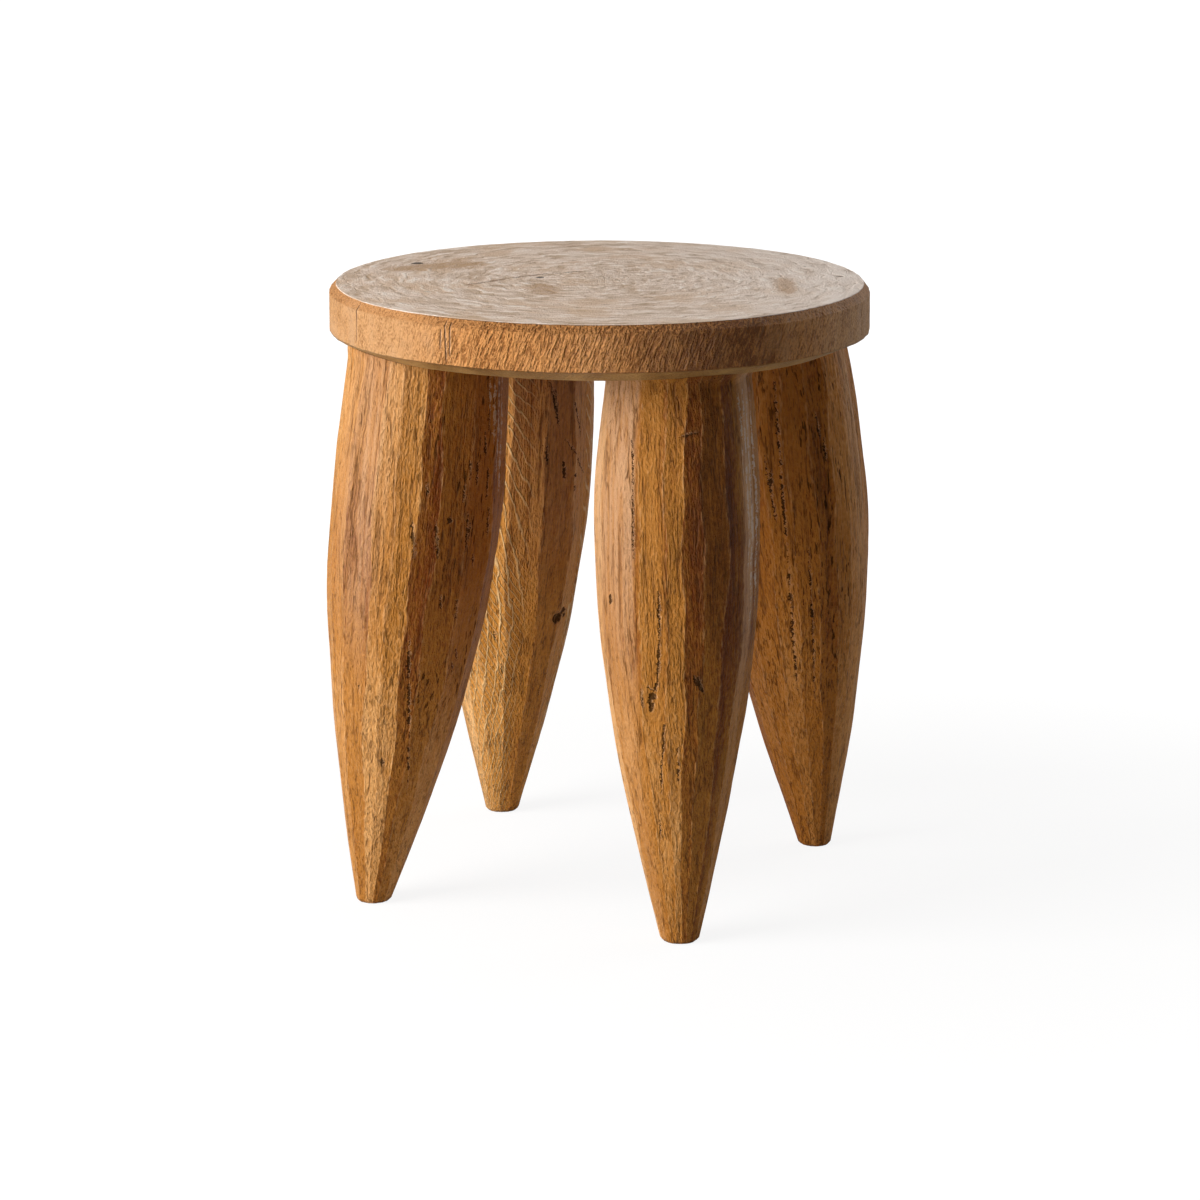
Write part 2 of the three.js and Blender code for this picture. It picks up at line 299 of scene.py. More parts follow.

# Colours of marks and patches in the wood, and of painted sheen, highlights and shade, beside those that
# a user may change
ROSY_SHEEN = (0.62, 0.385, 0.235)
HEARTWOOD_SHADE_DARK = (0.075, 0.020, 0.002)
HEARTWOOD_SHADE_PALE = (0.27, 0.085, 0.012)
VEIN = (0.09, 0.025, 0.002)
PORE = (0.075, 0.022, 0.002)
LEG_CUT = (0.028, 0.010, 0.002)
LEG_LIP_HIGHLIGHT = (0.80, 0.46, 0.25)
CREST = (0.70, 0.38, 0.17)
RIM_LIGHT_STREAK = (0.60, 0.46, 0.35)
GROOVE = (0.85, 0.60, 0.30)
UNDER_DARK = (0.24, 0.115, 0.03)
UNDER_PALE = (0.46, 0.26, 0.09)
SIDE_TAN = (0.53, 0.27, 0.11)
SIDE_SHADE = (0.68, 0.60, 0.48)
SIDE_FLANK_TINT = (0.86, 1.04, 1.5)
SIDE_LIP_HIGHLIGHT = (0.85, 0.52, 0.30)
SIDE_CRACK = (0.06, 0.02, 0.006)
BEVEL_DARK = (0.22, 0.075, 0.015)
BEVEL_PALE = (0.50, 0.21, 0.06)
TOP_TAN = (0.58, 0.37, 0.205)
TOP_RIGHT_SHEEN = (0.93, 0.84, 0.78)
PALE_STROKE = (0.92, 0.83, 0.75)
DARK_STROKE = (0.33, 0.20, 0.11)
TOP_STAIN = (0.42, 0.235, 0.105)
TOP_SEAM = (0.21, 0.105, 0.042)
TOP_PIT = (0.035, 0.018, 0.009)

# The lamps: turn, rise, distance, size, share of the key lamp's power, and colour
LAMPS = {
    "key": (225.0, 20.0, 2.4, 1.5, 1.0, (1.0, 0.98, 0.95)),
    "rim": (60.0, 20.0, 2.4, 1.2, 0.14, (1.0, 0.97, 0.94)),
    "top": (230.0, 72.0, 2.2, 1.8, 0.16, (1.0, 0.98, 0.96)),
}
LAMPS_AIM_HEIGHT = 0.25

# The camera that fits the photograph, in metres and degrees
CAMERA_LENS = 128.97
CAMERA_REACH = 3.113
CAMERA_HEIGHT = 0.9515
CAMERA_TURN = 21.4
CAMERA_DIP = 13.41


# Handwork: steady, uneven numbers and swings between -1 and 1


def uneven(seed):
    scattered = np.sin(np.asarray(seed, float) * 12.9898 + 4.1414) * 43758.5453
    return 2 * (scattered - np.floor(scattered)) - 1


def stroke_swing(seed, strokes):
    slow_pace = 1.9 + 0.4 * uneven(seed)
    quick_pace = 0.8 + 0.15 * uneven(seed + 0.6)
    slow = np.sin(2 * np.pi * strokes / slow_pace + np.pi * uneven(seed + 0.3))
    quick = np.sin(2 * np.pi * strokes / quick_pace + np.pi * uneven(seed + 0.9))
    return 0.6 * slow + 0.4 * quick


def round_swing(seed, turn):
    slow = np.sin(3 * turn + np.pi * uneven(seed))
    quick = np.sin(8 * turn + np.pi * uneven(seed + 0.5))
    return 0.6 * slow + 0.4 * quick


def cloud(places, size, seed):
    """Soft random lumps of about the given size, from -1 to 1."""
    cell = places / np.asarray(size, float)
    corner = np.floor(cell)
    share = cell - corner
    share = share * share * (3 - 2 * share)
    total = np.zeros(len(places))
    for step in itertools.product((0, 1), repeat=3):
        weight = np.prod(np.where(step, share, 1 - share), axis=1)
        total += weight * uneven((corner + step) @ (127.1, 311.7, 74.7) + seed)
    return total


def polar(radius, degrees):
    turn = np.radians(degrees)
    return np.stack([radius * np.cos(turn), radius * np.sin(turn)], -1)


def turns(places):
    return np.arctan2(places[:, 1], places[:, 0])


def reaches(places):
    return np.hypot(places[:, 0], places[:, 1])


# The seat's shape


def seat_edge(edge, turn):
    """Radius and height of one hewn edge, straight between the corners of its flats."""
    radius, height, stray_out, stray_up = SEAT_EDGES[edge]
    place = np.mod(turn, 2 * np.pi) / (2 * np.pi) * SEAT_FLATS
    first = np.floor(place)
    share = place - first
    out = []
    up = []
    for corner in (first, first + 1):
        at = 2 * np.pi * corner / SEAT_FLATS
        out.append(radius + SEAT_HEWN_WAVER * stray_out * round_swing(edge, at))
        up.append(height + SEAT_HEWN_WAVER * stray_up * round_swing(edge + 0.2, at))
    step = 2 * np.pi / SEAT_FLATS
    straight = out[0] * out[1] * np.sin(step)
    reach = straight / (out[0] * np.sin(share * step) + out[1] * np.sin((1 - share) * step))
    return reach, up[0] * (1 - share) + up[1] * share


def underside_height(places):
    """The height of the seat's underside over some places: flat, then rising along the bevel."""
    inner, low = seat_edge(0, turns(places))
    outer, high = seat_edge(1, turns(places))
    share = np.clip((reaches(places) - inner) / (outer - inner), 0, 1)
    return low + (high - low) * share


# A leg's shape


def leg_middle(leg, height):
    share = np.clip(height / UNDERSIDE_HEIGHT, 0, 1.05)
    foot = polar(FOOT_CIRCLE_RADIUS + leg["foot"][0], leg["place"] + leg["foot"][1])
    shoulder = polar(SHOULDER_CIRCLE_RADIUS + leg["shoulder"][0], leg["place"] + leg["shoulder"][1])
    bow = leg["bow"] * np.sin(np.pi * np.minimum(1, share))
    line = foot + (shoulder - foot) * share[..., None]
    return line + polar(1.0, leg["place"]) * bow[..., None]


def leg_lean(leg):
    """How far a leg's middle moves sideways for each millimetre up."""
    ends = leg_middle(leg, np.array([0, UNDERSIDE_HEIGHT]))
    return (ends[1] - ends[0]) / UNDERSIDE_HEIGHT


def leg_radius(leg, height):
    foot = FOOT_RADIUS + leg["stouter"][0]
    belly = BELLY_RADIUS + leg["stouter"][1]
    shoulder = SHOULDER_RADIUS + leg["stouter"][2]
    below = foot + (belly - foot) * np.sin(np.pi / 2 * height / BELLY_HEIGHT)
    above = np.clip((height - BELLY_HEIGHT) / (UNDERSIDE_HEIGHT - BELLY_HEIGHT), 0, 1)
    over = shoulder + (belly - shoulder) * np.cos(np.pi / 2 * above)
    radius = np.where(height < BELLY_HEIGHT, below, over)
    rise = np.clip(1 - (UNDERSIDE_HEIGHT - height) / FLARE_HEIGHT, 0, 1)
    return radius + leg["flare"] * rise**2 - np.maximum(0, FOOT_EDGE_BEVEL - height)


def ridge_places(leg):
    """Where the ridges between a leg's flats stand, in degrees round the leg."""
    ridges = list(itertools.accumulate(leg["flats"], initial=leg["first_ridge"]))
    start = ridges[-1]
    span = leg["first_ridge"] + 360 - start
    count = round(span / EVEN_FLAT_DEGREES)
    for flat in range(1, count):
        stray = EVEN_FLAT_STRAY * uneven(31 * leg["number"] + flat)
        ridges.append(start + span * (flat + stray) / count)
    return np.array(ridges)


def ridge_corner(leg, ridge, degrees, height):
    """A ridge at each height, from the leg's middle, with the fine nibbling of its crest."""
    seed = 31 * leg["number"] + ridge + 1
    strokes = height / STROKE_LENGTH
    nibble = 0.45 * stroke_swing(seed + 11, strokes * 5.3) + 0.2 * stroke_swing(seed + 13, strokes * 15)
    turn = degrees + RIDGE_SWING_DEGREES * stroke_swing(seed + 7, strokes) + nibble
    proud = 1 + RIDGE_PROUD + RIDGE_DEPTH_WAVER * stroke_swing(seed + 3, strokes)
    return polar(leg_radius(leg, height) * proud, turn)


def leg_surface(leg, flat, share, height):
    """Points on a leg's hewn skin: on which flat, how far across it, and how high."""
    ridges = ridge_places(leg)
    corners = np.stack([ridge_corner(leg, i, turn, height) for i, turn in enumerate(ridges)])
    rows = np.arange(len(height))
    one = corners[flat, rows]
    other = corners[(flat + 1) % len(ridges), rows]
    point = one + (other - one) * share[:, None]
    across = np.linalg.norm(other - one, axis=1)
    out = point / np.linalg.norm(point, axis=1)[:, None]
    depth = blade_depth(leg, flat, share, height, across) + wear_depth(leg, flat, point, height)
    return point - out * depth[:, None] + leg_middle(leg, height)


def blade_depth(leg, flat, share, height, across):
    """How deep the blade has gone below the straight flat."""
    seed = 17.0 * leg["number"] + flat
    strokes = height / STROKE_LENGTH
    hollow = across * (FLAT_HOLLOW + FLAT_HOLLOW * stroke_swing(seed + 5, strokes * 1.7))
    chatter = CHATTER_DEPTH * stroke_swing(seed + 9, strokes * 6) * np.minimum(1, across / 12)
    return hollow * 4 * share * (1 - share) + chatter * np.sin(np.pi * share)


def wear_depth(leg, flat, point, height):
    """How deep the torn fibres and the holes go."""
    seed = 17.0 * leg["number"] + flat
    place = np.column_stack([point, height])
    depth = LONG_TEAR_DEPTH * cloud(place, (7, 7, 34), seed)
    depth += SHORT_TEAR_DEPTH * cloud(place, (3, 3, 9), seed + 1)
    for hole_turn, hole_height, radius, hole_depth in leg["holes"]:
        beside = ((np.degrees(turns(point)) - hole_turn + 180) % 360 - 180) * MM_PER_DEGREE
        far = np.hypot(beside, height - hole_height) / (radius * 1.3)
        depth += hole_depth * np.clip(1 - far**2, 0, 1)
    return depth


# Sizes and colours that a user would change


def wood_color(name, description, color):
    """A colour of wood that the user may change."""
    return FloatVectorProperty(
        name=name, description=description, subtype="COLOR", size=3, min=0, max=1, default=color
    )


class StoolSeat(bpy.types.PropertyGroup):
    columns: FloatProperty(
        name="Corner spacing",
        description="Distance between the seat mesh's points round its side",
        default=0.0022,
        min=0.002,
        max=0.01,
        unit="LENGTH",
    )
    top_color: wood_color("Top", "Colour of the seat's end-grain top", (0.84, 0.69, 0.585))
    side_color: wood_color("Side", "Colour of the wood on the seat's side", (0.66, 0.29, 0.085))


class StoolLegs(bpy.types.PropertyGroup):
    pale_color: wood_color("Pale wood", "Colour of the palest streaks", (0.72, 0.38, 0.14))
    middle_color: wood_color("Middling wood", "Colour of most of the wood", (0.43, 0.168, 0.024))
    dark_color: wood_color("Dark wood", "Colour of the darkest streaks", (0.16, 0.031, 0.0005))


class StoolStage(bpy.types.PropertyGroup):
    key_power: FloatProperty(
        name="Key light",
        description="Power of the large lamp on the left",
        default=76.0,
        min=0,
        unit="POWER",
    )
    fill_strength: FloatProperty(
        name="Fill",
        description="Strength of the even light from all round",
        default=0.30,
        min=0,
        max=2,
    )


# Modelling helpers


def deselect_everything():
    if bpy.context.object and bpy.context.object.mode != "OBJECT":
        bpy.ops.object.mode_set(mode="OBJECT")
    bpy.ops.object.select_all(action="DESELECT")


def select_only(piece):
    deselect_everything()
    piece.select_set(True)
    bpy.context.view_layer.objects.active = piece


def numbers(things, what, width, kind=float):
    """Reads the same few numbers of every vertex, edge, corner or face of a mesh."""
    found = np.zeros(len(things) * width, kind)
    things.foreach_get(what, found)
    return found.reshape(-1, width)


def vertex_places(mesh):
    return numbers(mesh.vertices, "co", 3)


def set_vertex_places(mesh, places):
    mesh.vertices.foreach_set("co", places.astype(float).ravel())
    mesh.update()


def choose(mesh, things, chosen, kind):
    """Selects only the chosen edges or faces, and goes to edit mode."""
    for each in (mesh.vertices, mesh.edges, mesh.polygons):
        each.foreach_set("select", np.zeros(len(each), bool))
    things.foreach_set("select", chosen)
    bpy.context.tool_settings.mesh_select_mode = (False, kind == "EDGE", kind == "FACE")
    bpy.ops.object.mode_set(mode="EDIT")


def select_edges(mesh, test):
    """Selects the edges whose two ends pass a test."""
    bpy.ops.object.mode_set(mode="OBJECT")
    ends = numbers(mesh.edges, "vertices", 2, int)
    places = vertex_places(mesh)
    choose(mesh, mesh.edges, test(places[ends[:, 0]], places[ends[:, 1]]), "EDGE")


def select_cap(mesh, level, within=math.inf):
    """Selects the faces at one level whose middle is within a reach of the Z axis."""
    bpy.ops.object.mode_set(mode="OBJECT")
    middles = numbers(mesh.polygons, "center", 3)
    cap = (np.abs(middles[:, 2] - level) < NEAR_LEVEL) & (reaches(middles) < within)
    choose(mesh, mesh.polygons, cap, "FACE")


def drum(name, columns, radius, low, high):
    """Adds a plain round drum on the Z axis and leaves it in object mode."""
    deselect_everything()
    bpy.ops.mesh.primitive_cylinder_add(
        vertices=columns,
        radius=radius,
        depth=high - low,
        end_fill_type="NGON",
        location=(0, 0, (low + high) / 2),
    )
    bpy.ops.object.transform_apply(location=True, rotation=False, scale=False)
    piece = bpy.context.object
    piece.name = piece.data.name = name
    return piece


def split_side(piece, radius, rows):
    """Cuts a drum's side into rows, first into a few and then each of those."""
    first = next(n for n in range(2, rows) if rows % n == 0)
    for parts in (rows // first, first):
        select_edges(
            piece.data,
            lambda one, other: (np.abs(one[:, 2] - other[:, 2]) > NEAR)
            & (np.minimum(reaches(one), reaches(other)) > radius - NEAR),
        )
        bpy.ops.mesh.subdivide(number_cuts=parts - 1)
    bpy.ops.object.mode_set(mode="OBJECT")


def ring_end(piece, level, reach, rings):
    """Draws a drum's flat end in by a distance and cuts the new band into rings."""
    select_cap(piece.data, level)
    bpy.ops.mesh.inset(thickness=reach, use_even_offset=False)
    select_edges(
        piece.data,
        lambda one, other: (np.abs(one[:, 2] - level) + np.abs(other[:, 2] - level) < NEAR_LEVEL)
        & (np.abs(reaches(one) - reaches(other)) > reach / 2),
    )
    bpy.ops.mesh.subdivide(number_cuts=rings - 1)
    bpy.ops.object.mode_set(mode="OBJECT")


def write_uv(mesh, name, values, whole):
    """Writes a UV map: a value that runs once round the piece, without a break, and the height."""
    vertices = numbers(mesh.loops, "vertex_index", 1, int)[:, 0]
    sizes = numbers(mesh.polygons, "loop_total", 1, int)[:, 0]
    faces = np.repeat(np.arange(len(sizes)), sizes)
    around = values[vertices]
    low = np.full(len(sizes), whole, float)
    high = np.zeros(len(sizes))
    np.minimum.at(low, faces, around)
    np.maximum.at(high, faces, around)
    crosses = (high - low > whole / 2)[faces] & (around < whole / 2)
    corners = np.column_stack([around + whole * crosses, vertex_places(mesh)[vertices, 2]])
    mesh.uv_layers.new(name=name).data.foreach_set("uv", corners.ravel())


def finish_piece(piece, node, degrees):
    """Shades a finished piece, hides the solid it stands for and lets it ride."""
    select_only(piece)
    bpy.ops.object.shade_smooth_by_angle(angle=math.radians(degrees))
    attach(piece, "root")
    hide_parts(node)


# Node wiring


class Wiring:
    """Wires up one node tree, a node at a time."""

    def __init__(self, tree):
        self.tree = tree

    def feed(self, socket, value):
        if isinstance(value, bpy.types.NodeSocket):
            self.tree.links.new(value, socket)
        else:
            socket.default_value = value

    def node(self, kind, settings=None, **inputs):
        made = self.tree.nodes.new("ShaderNode" + kind)
        for name, value in (settings or {}).items():
            setattr(made, name, value)
        for name, value in inputs.items():
            self.feed(made.inputs[name.replace("_", " ")], value)
        return made

    def math(self, operation, *values, clamp=False):
        made = self.node("Math", {"operation": operation, "use_clamp": clamp})
        for socket, value in zip(made.inputs, values):
            self.feed(socket, value)
        return made.outputs[0]

    def times(self, product, *factors):
        for factor in factors:
            product = self.math("MULTIPLY", product, factor)
        return product

    def less(self, value, amount):
        return self.math("SUBTRACT", value, amount)

    def apart(self, one, other):
        return self.math("ABSOLUTE", self.less(one, other))

    def sum(self, *pairs):
        """Adds up values, each times its weight."""
        total = None
        for value, weight in pairs:
            term = self.times(value, weight)
            total = term if total is None else self.math("ADD", total, term)
        return total

    def smooth(self, value, low, high, to_low=0.0, to_high=1.0):
        """A smooth step: to_low where the value is at low, to_high where it is at high."""
        kind = {"interpolation_type": "SMOOTHSTEP"}
        ends = {"From_Min": low, "From_Max": high, "To_Min": to_low, "To_Max": to_high}
        return self.node("MapRange", kind, Value=value, **ends).outputs["Result"]

    def vector(self, operation, *values):
        made = self.node("VectorMath", {"operation": operation})
        for socket, value in zip(made.inputs, values):
            self.feed(socket, value)
        plain = operation in ("LENGTH", "DOT_PRODUCT")
        return made.outputs["Value" if plain else "Vector"]

    def longer(self, vector, scale):
        made = self.node("VectorMath", {"operation": "SCALE"}, Scale=scale)
        self.feed(made.inputs[0], vector)
        return made.outputs[0]

    def parts(self, vector):
        return self.node("SeparateXYZ", Vector=vector).outputs

    def scaled(self, vector, scale, location=(0, 0, 0), rotation=(0, 0, 0)):
        made = self.node("Mapping", Vector=vector, Scale=scale, Location=location, Rotation=rotation)
        return made.outputs[0]

    def place(self, rotation=(0, 0, 0)):
        """Where a point is on its piece, in millimetres."""
        place = self.node("TexCoord").outputs["Object"]
        return self.scaled(place, (1 / MM, 1 / MM, 1 / MM), rotation=rotation)

    def noise(self, vector, detail, roughness=0.55):
        made = self.node("TexNoise", Vector=vector, Scale=1.0, Detail=detail, Roughness=roughness)
        return made.outputs["Fac"]

    def grain(self, place, across, along, detail, seed):
        """Noise drawn out along Z. The place and both lengths are in millimetres."""
        scale = (1 / across, 1 / across, 1 / along)
        return self.noise(self.scaled(place, scale, (seed, seed, seed)), detail)

    def ripple(self, place, scale, detail):
        """Random steps in all directions, of about half a unit."""
        made = self.node("TexNoise", Vector=self.scaled(place, (scale, scale, scale)), Detail=detail)
        return self.vector("SUBTRACT", made.outputs["Color"], (0.5, 0.5, 0.5))

    def mix(self, share, one, other, blend="MIX"):
        made = self.node("Mix", {"data_type": "RGBA", "blend_type": blend})
        for place, value in ((0, share), (6, opaque(one)), (7, opaque(other))):
            self.feed(made.inputs[place], value)
        return made.outputs[2]

    def coat(self, color, paint, strength, *shares):
        """Paints over a colour where the shares say, as strongly as the strength says."""
        return self.mix(self.times(*shares, strength), color, paint)


def opaque(color):
    return color if isinstance(color, bpy.types.NodeSocket) else (*color, 1.0)


def tinted(color, tint):
    return [c * t for c, t in zip(color, tint)]


def new_material(name):
    material = bpy.data.materials.new(name)
    material.use_nodes = True
    material.node_tree.nodes.clear()
    return material, Wiring(material.node_tree)


def wire_wood(w, color, roughness, relief, specular):
    """Ends a tree: wood with a warm shine, its relief in millimetres."""
    shader = w.node(
        "BsdfPrincipled",
        Base_Color=color,
        Roughness=roughness,
        Normal=w.node("Bump", Height=relief, Distance=MM).outputs[0],
        Specular_IOR_Level=specular,
        Specular_Tint=(1.0, 0.84, 0.66, 1),
    )
    w.node("OutputMaterial", Surface=shader.outputs[0])


# Marks in the wood


def mark_group():
    """A node group: how much of a crack, or of a chain of pits, and of its lit lip, a painted highlight,
    shows.
    """
    tree = bpy.data.node_groups.get("wood_mark")
    if tree:
        return tree
    tree = bpy.data.node_groups.new("wood_mark", "ShaderNodeTree")
    for name in ("Place", "One", "Other", "Width", "Dash", "Breaks", "Mark", "Lip"):
        kind = "NodeSocketVector" if name in ("Place", "One", "Other") else "NodeSocketFloat"
        tree.interface.new_socket(name, in_out="INPUT", socket_type=kind)
    for name in ("Mark", "Lip"):
        tree.interface.new_socket(name, in_out="OUTPUT", socket_type="NodeSocketFloat")
    w = Wiring(tree)
    given = tree.nodes.new("NodeGroupInput").outputs
    mark, lip = mark_and_lip(w, given)
    end = tree.nodes.new("NodeGroupOutput")
    w.feed(end.inputs["Mark"], w.math("MAXIMUM", given["Mark"], mark))
    w.feed(end.inputs["Lip"], w.math("MAXIMUM", given["Lip"], lip))
    return tree


def mark_and_lip(w, given):
    """A tapering line with ragged gaps, and the lit edge on its right."""
    line = w.vector("SUBTRACT", given["Other"], given["One"])
    reach = w.vector("SUBTRACT", given["Place"], given["One"])
    long = w.vector("DOT_PRODUCT", line, line)
    along = w.math("DIVIDE", w.vector("DOT_PRODUCT", reach, line), long, clamp=True)
    off = w.vector("LENGTH", w.vector("SUBTRACT", reach, w.longer(line, along)))
    taper = w.math("SQRT", w.times(along, w.less(1.0, along), 4.0))
    gaps = w.times(w.less(1.0, given["Dash"]), given["Breaks"])
    half = w.times(given["Width"], 0.5, taper, w.less(1.0, gaps))
    soft = w.math("MULTIPLY_ADD", given["Width"], 0.15, -0.1)
    mark = w.times(w.smooth(w.less(half, off), -0.3, soft), w.math("GREATER_THAN", half, 0.08))
    beside = w.vector("DOT_PRODUCT", w.vector("CROSS_PRODUCT", line, reach), (0, 0, 1))
    right = w.times(w.math("GREATER_THAN", beside, 0.0), taper)
    return mark, w.times(w.smooth(w.less(off, half), 1.2, 0.4), right)


def marks(w, place, dash, lines, breaks, before=(0.0, 0.0)):
    """The strongest of several marks, and of their lit right-hand lips, over those before."""
    shared = {"Place": place, "Dash": dash, "Breaks": breaks}
    mark, lip = before
    for x0, y0, x1, y1, width in lines:
        ends = {"One": (x0, y0, 0), "Other": (x1, y1, 0)}
        group = {"node_tree": mark_group()}
        mark, lip = w.node("Group", group, **shared, **ends, Width=width, Mark=mark, Lip=lip).outputs
    return mark, lip


def around_lines(lines, mm_per_degree, wider=1.0):
    """Marks given in degrees round a piece, in millimetres round it."""
    return [(a * mm_per_degree, b, c * mm_per_degree, d, wider * width) for a, b, c, d, width in lines]


def tone_and_shading_round(w, around, tone_and_shading_bands):
    """How much lighter or darker a piece is painted round it, from -0.5 to 0.5: painted light and shade,
    with some of the wood's own tone.
    """
    ramp = w.node("ValToRGB", Fac=w.math("FRACT", around))
    spots = ramp.color_ramp.elements
    spots.remove(spots[1])
    for step, (turn, tone) in enumerate(sorted((turn % 360, tone) for turn, tone in tone_and_shading_bands)):
        spot = spots.new(turn / 360) if step else spots[0]
        spot.position = turn / 360
        spot.color = (*[0.5 + tone / 2] * 3, 1)
    return w.less(ramp.outputs[0], 0.5)


# The legs' wood


def leg_grain(w, leg):
    """Where a point lies on a leg, and the grain there, with Z along the leg."""
    splay = math.atan((FOOT_CIRCLE_RADIUS - SHOULDER_CIRCLE_RADIUS) / UNDERSIDE_HEIGHT)
    facing = math.radians(leg["place"])
    place = w.place((-splay * math.sin(facing), splay * math.cos(facing), 0))
    around = w.parts(w.node("UVMap", {"uv_map": "around"}).outputs[0])
    flats = w.parts(w.node("UVMap", {"uv_map": "flats"}).outputs[0])
    height = w.times(around["Y"], 1 / MM)
    # Painted bounce light from the floor: the wood grows paler towards the foot, and the painted bands
    # fade there
    low = w.smooth(height, 260, 90)
    seed = 40.0 * leg["number"]
    return SimpleNamespace(
        place=place,
        turn=w.times(around["X"], 360 * MM_PER_DEGREE),
        height=height,
        flats=flats["X"],
        low=low,
        # Bands of painted light and shade round the leg, with some of the wood's own tone, weaker near
        # the foot
        tone_and_shading=w.times(tone_and_shading_round(w, around["X"], leg["tone_and_shading_bands"]), w.math("MULTIPLY_ADD", low, -0.5, 1.0)),
        seed=seed,
        broad=w.grain(place, 42, 150, 3, seed),
        streak=w.grain(place, 4.5, 130, 3, seed),
        fibre=w.grain(place, 1.3, 10, 2, seed),
        nap=w.grain(place, 1.9, 3.4, 2, seed),
    )


def leg_color(w, at, legs, leg):
    """The wood's colours by the grain and by the flats, with bands of painted light and shade round the
    leg, a painted sheen on the lit side, a girdle of painted shade, and dark heartwood as painted shade
    on the side turned from the key lamp.
    """
    flat = w.math("FLOOR", w.math("ADD", at.flats, at.seed + 0.001))
    flat_tone = w.node("TexWhiteNoise", {"noise_dimensions": "1D"}, W=flat).outputs["Value"]
    parts = ((at.broad, 1.2), (at.streak, 0.9), (at.fibre, 1.1), (at.nap, 1.1), (flat_tone, 1.3))
    middle = sum(weight for _, weight in parts) / 2
    # Painted shade: a darker girdle round the middle height, on the lit side only
    girdle_shade = w.smooth(w.apart(at.height, SHADE_GIRDLE_HEIGHT), 100, 25)
    girdle_shade = w.times(girdle_shade, w.smooth(at.tone_and_shading, -0.1, 0.1))
    tone = w.sum(*parts, (at.tone_and_shading, 1.7), (at.low, 0.3), (girdle_shade, -leg["shaded"]))
    dark, wood, pale = (
        tinted(color, leg["tone"]) for color in (legs.dark_color, legs.middle_color, legs.pale_color)
    )
    share = w.smooth(tone, middle - 1.3, middle + 0.1)
    color = w.mix(share, dark, wood)
    color = w.mix(w.smooth(tone, middle - 0.1, middle + 1.5), color, pale)
    # Painted sheen: rosy pale streaks along the grain on the lit side, stronger higher up
    rosy_sheen = w.times(w.smooth(at.tone_and_shading, 0.02, 0.22), w.smooth(at.streak, 0.35, 0.6, 0.3, 0.62))
    color = w.mix(w.times(rosy_sheen, w.smooth(at.height, 120, 340, 0.2, 1.0)), color, ROSY_SHEEN)
    # Dark heartwood laid on the side turned from the key lamp, so largely painted shade
    turn, half, low, strength = leg["heartwood_and_shade"]
    beside = w.apart(at.turn, turn * MM_PER_DEGREE)
    wander = w.times(w.less(at.broad, 0.5), 60.0)
    reach = half * MM_PER_DEGREE
    heartwood_and_shade = w.smooth(w.math("ADD", beside, wander), reach, reach * 0.35)
    high = w.smooth(at.height, low - 60, low + 60)
    return w.coat(color, w.mix(share, HEARTWOOD_SHADE_DARK, HEARTWOOD_SHADE_PALE), strength, heartwood_and_shade, high)


def leg_checks(w, at, leg):
    """Short fine checks, in patches, fewer near the foot and where the bands paint light."""
    patch = w.smooth(w.grain(at.place, 26, 75, 2, at.seed + 9), 0.38, 0.54)
    patch = w.times(patch, w.smooth(at.height, 50, 190, 0.15, leg["checks"]))
    patch = w.times(patch, w.smooth(at.tone_and_shading, 0.15, -0.15, 0.35, 1.0))
    least = 0.66 - 0.06 * leg["checks"]
    checks = w.smooth(w.grain(at.place, 1.9, 15, 2, at.seed + 12), least, least + 0.04)
    return w.times(checks, patch)


def leg_marks(w, at, leg):
    """Cuts, their lit lips (painted highlights), pale streaks of painted rim light along the fibres, and
    the wavering skin that they lie on.
    """
    checks = leg_checks(w, at, leg)
    dash = w.smooth(w.grain(at.place, 6, 4.5, 2, at.seed + 20), 0.46, 0.56)
    skin = w.node("CombineXYZ", X=at.turn, Y=at.height).outputs[0]
    skin = w.vector("ADD", skin, w.longer(w.ripple(at.place, 0.11, 3.0), 5.0))
    holes = [(turn, level + r, turn, level - r, 2 * r) for turn, level, r, _ in leg["holes"]]
    found = (checks, 0.0)
    for lines, breaks in ((leg["cracks"], 0.35), (leg["pits"], 1.0), (holes, 0.3)):
        found = marks(w, skin, dash, around_lines(lines, MM_PER_DEGREE, MARK_WIDTH), breaks, found)
    rim_light_streaks = marks(w, skin, dash, around_lines(leg["rim_light_streaks"], MM_PER_DEGREE, MARK_WIDTH), 0.7)[0]
    return skin, *found, rim_light_streaks


def stripes(w, phase):
    """How far a phase is from half-way between two stripes, at most 0.5."""
    return w.apart(w.math("FRACT", phase), 0.5)


def tool_grooves(w, at):
    """Pale tool grooves: bowed ones all the way up, and slanting ones on the lower half."""
    sway = w.grain(at.place, 14, 40, 2, at.seed + 30)
    bow = w.times(w.math("POWER", w.less(at.height, 170.0), 2.0), 0.00024)
    bowed = w.smooth(stripes(w, w.sum((at.turn, 0.11), (bow, 1.0), (sway, 1.6))), 0.37, 0.48)
    slanting = stripes(w, w.sum((at.turn, 0.20), (at.height, 0.13), (sway, 1.2)))
    slanting = w.times(w.smooth(slanting, 0.36, 0.48), w.smooth(at.height, 250, 190))
    groove = w.math("MAXIMUM", bowed, slanting)
    groove = w.times(groove, w.smooth(at.turn, 315 * MM_PER_DEGREE, 290 * MM_PER_DEGREE))
    return w.times(groove, w.smooth(at.fibre, 0.25, 0.45))


def scrapes(w, at, skin):
    """Fine slanting scrapes on the upper part of a leg."""
    slant = w.scaled(skin, (1, 1, 1), rotation=(0, 0, math.radians(38)))
    return w.times(w.noise(w.scaled(slant, (1.1, 0.12, 1)), 2, 0.5), w.smooth(at.height, 230, 300))


